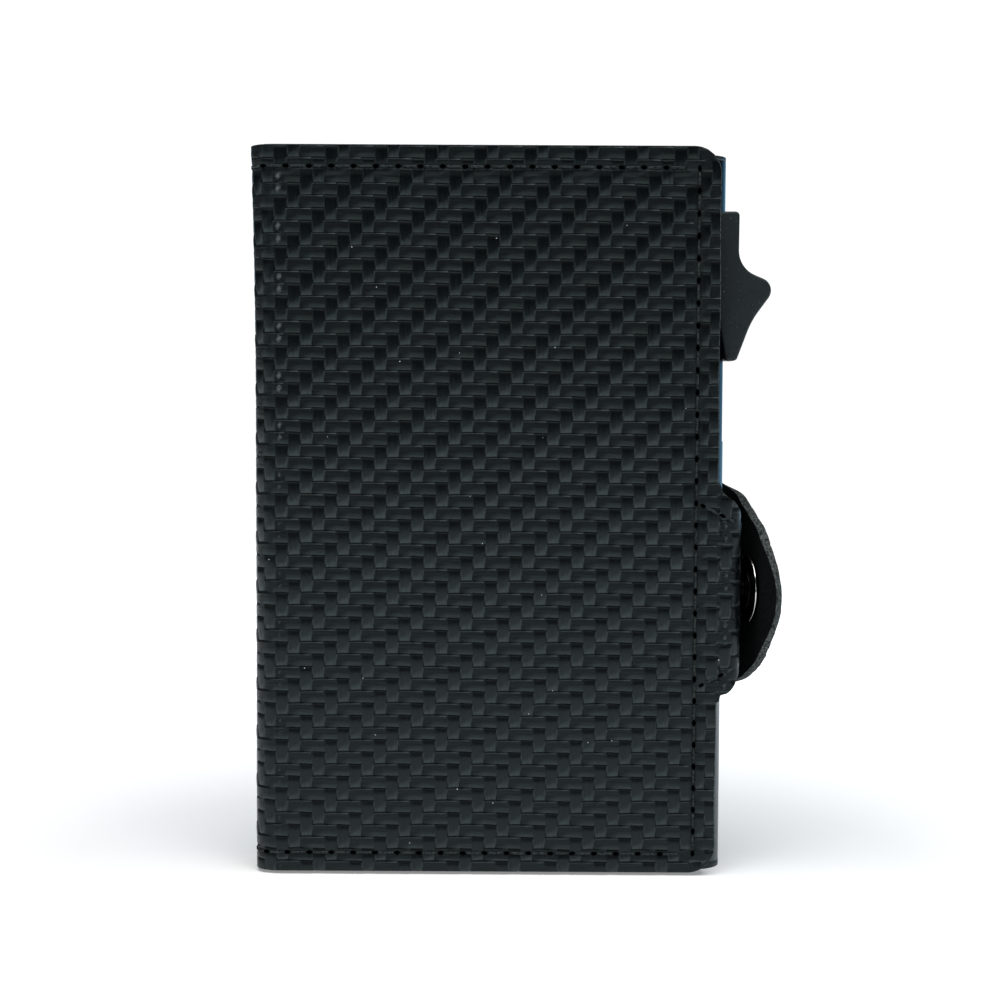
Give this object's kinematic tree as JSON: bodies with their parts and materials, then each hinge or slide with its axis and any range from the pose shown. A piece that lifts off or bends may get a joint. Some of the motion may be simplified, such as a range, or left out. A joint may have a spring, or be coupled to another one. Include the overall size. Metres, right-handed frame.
{
  "type": "minimalist wallet",
  "caption": "Card case with a side slider that pushes cards out of its end, in a stitched leather book cover closed by two tabs and a press stud.",
  "frame": {"origin": "centre of the end face of the card mouth, on which the wallet stands", "axes": "+Z from the card mouth to the closed end, +X from the spine to the slider side, +Y from the front cover to the back cover"},
  "size_m": [0.0716, 0.0161, 0.099],
  "materials": {
    "anodised_case": "black anodised extrusion, fine satin",
    "bare_aluminium": "mill-finished strip",
    "moulded_plastic": "matte moulded black plastic, fine texture",
    "felt": "dense black felt",
    "adhesive": "foam mounting adhesive",
    "embossed_leather": "black coated leather embossed with a 2/2 twill",
    "lining": "black suede lining",
    "pocket_leather": "thin smooth black leather",
    "thread": "black polyester sewing thread",
    "stud_metal": "nickel-plated pressed steel",
    "cap_metal": "black enamelled pressed steel"
  },
  "bodies": {
    "root": {"case_body": "anodised_case", "closed_end_cap": "moulded_plastic", "mouth_frame": "moulded_plastic", "friction_pads": "felt", "card_guide_rail": "bare_aluminium", "adhesive_pad": "adhesive", "back_cover_shell": "embossed_leather", "back_cover_lining": "lining", "back_cover_stitches": "thread"},
    "spine": {"spine_shell": "embossed_leather", "spine_lining": "lining", "spine_stitches": "thread"},
    "front_cover": {"front_cover_shell": "embossed_leather", "front_cover_lining": "lining", "front_pocket_tall": "pocket_leather", "front_pocket_short": "pocket_leather", "front_cover_stitches": "thread"},
    "front_tab": {"front_tab_shell": "embossed_leather", "front_tab_lining": "lining", "front_tab_stitches": "thread", "snap_post": "stud_metal", "snap_stud": "stud_metal"},
    "back_tab": {"back_tab_leather": "embossed_leather", "snap_socket": "stud_metal", "snap_spring": "stud_metal", "snap_cap": "cap_metal"},
    "slider": {"slider_carriage": "moulded_plastic", "slider_thumb": "moulded_plastic"}
  },
  "joints": [
    {"name": "spine_fold", "type": "hinge", "parent": "root", "child": "spine", "pos_m": [-0.03206, 0.00556, 0], "axis": [0, 0, -1], "range_deg": [0, 86]},
    {"name": "cover_open", "type": "hinge", "parent": "spine", "child": "front_cover", "pos_m": [-0.03206, -0.00736, 0], "axis": [0, 0, -1], "range_deg": [0, 86]},
    {"name": "front_tab_bend", "type": "hinge", "parent": "front_cover", "child": "front_tab", "pos_m": [0.03266, -0.00766, 0], "axis": [0, 0, -1], "range_deg": [0, 43]},
    {"name": "back_tab_open", "type": "hinge", "parent": "root", "child": "back_tab", "pos_m": [0.03436, 0.00545, 0], "axis": [0, 0, 1], "range_deg": [0, 100]},
    {"name": "slider_push", "type": "slide", "parent": "root", "child": "slider", "axis": [0, 0, -1], "range_m": [0, 0.0175]}
  ],
  "couplings": [
    {"joint": "spine_fold", "follows": "cover_open", "ratio": 1},
    {"joint": "front_tab_bend", "follows": "cover_open", "ratio": 0.5}
  ]
}
